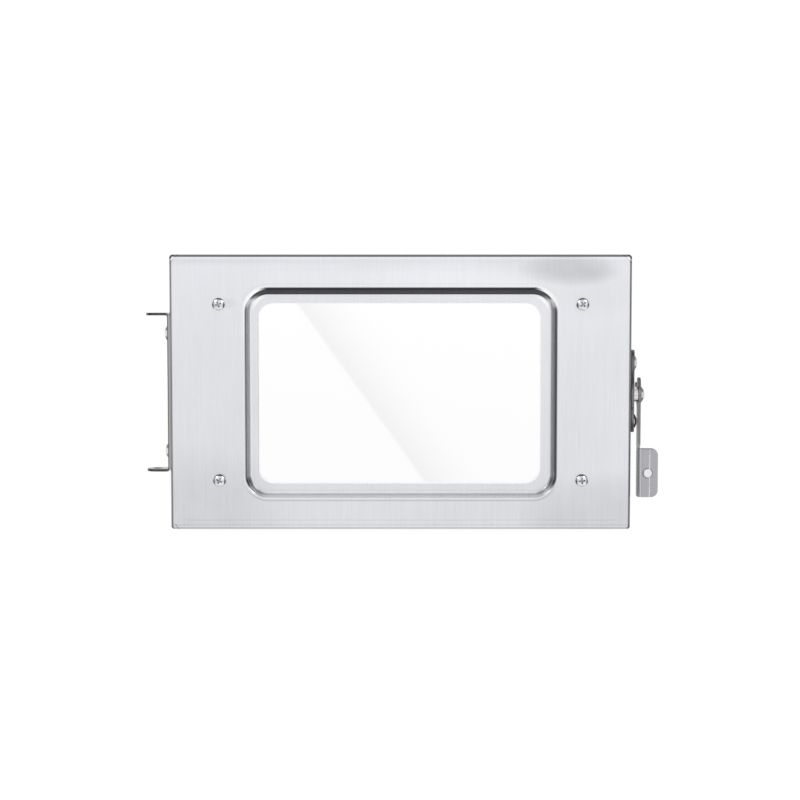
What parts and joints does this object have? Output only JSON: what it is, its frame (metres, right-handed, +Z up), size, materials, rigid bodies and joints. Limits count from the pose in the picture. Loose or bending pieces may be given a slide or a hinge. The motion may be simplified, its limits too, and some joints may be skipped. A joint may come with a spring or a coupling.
{
  "type": "glass stove door",
  "caption": "Side-hung door for a small metal stove: folded stainless pan with a drawn window recess, clear heat-proof glass, hinge channel and gravity lever latch.",
  "frame": {"origin": "on the hinge axis, halfway between the outer faces of the two hinge ears", "axes": "+X from the hinge to the latch side, +Y to the back, towards the stove, +Z up along the hinge axis"},
  "size_m": [0.2986, 0.0253, 0.16],
  "materials": {
    "brushed_stainless": "fine vertical brushing",
    "bracket_steel": "dull rolled sheet",
    "lever_steel": "dull rolled sheet",
    "retainer_steel": "plain rolled sheet",
    "rivet_steel": "bright domed heads",
    "bright_steel": "turned bright",
    "screw_steel": "plain stainless",
    "clear_glass": "clear polished",
    "gasket_tape": "woven glass-fibre tape"
  },
  "bodies": {
    "door": {"door_panel": "brushed_stainless", "glass_gasket": "gasket_tape", "glass_nut_bottom_left": "screw_steel", "glass_nut_bottom_right": "screw_steel", "glass_nut_top_left": "screw_steel", "glass_nut_top_right": "screw_steel", "glass_pane": "clear_glass", "glass_retainer": "retainer_steel", "glass_screw_bottom_left": "screw_steel", "glass_screw_bottom_right": "screw_steel", "glass_screw_top_left": "screw_steel", "glass_screw_top_right": "screw_steel", "glass_washer_bottom_left": "screw_steel", "glass_washer_bottom_right": "screw_steel", "glass_washer_top_left": "screw_steel", "glass_washer_top_right": "screw_steel", "hinge_bracket": "bracket_steel", "hinge_rivet_lower": "rivet_steel", "hinge_rivet_upper": "rivet_steel", "latch_plate": "bracket_steel", "latch_plate_rivet_lower": "rivet_steel", "latch_plate_rivet_upper": "rivet_steel", "pivot_bush": "bright_steel", "pivot_rivet": "rivet_steel"},
    "latch_lever": {"latch_lever": "lever_steel", "tab_rivet": "bright_steel"}
  },
  "joints": [
    {"name": "latch_pivot", "type": "hinge", "parent": "door", "child": "latch_lever", "pos_m": [0.28175, 0, -0.0015], "axis": [1, 0, 0], "range_deg": [-100, 0]}
  ]
}
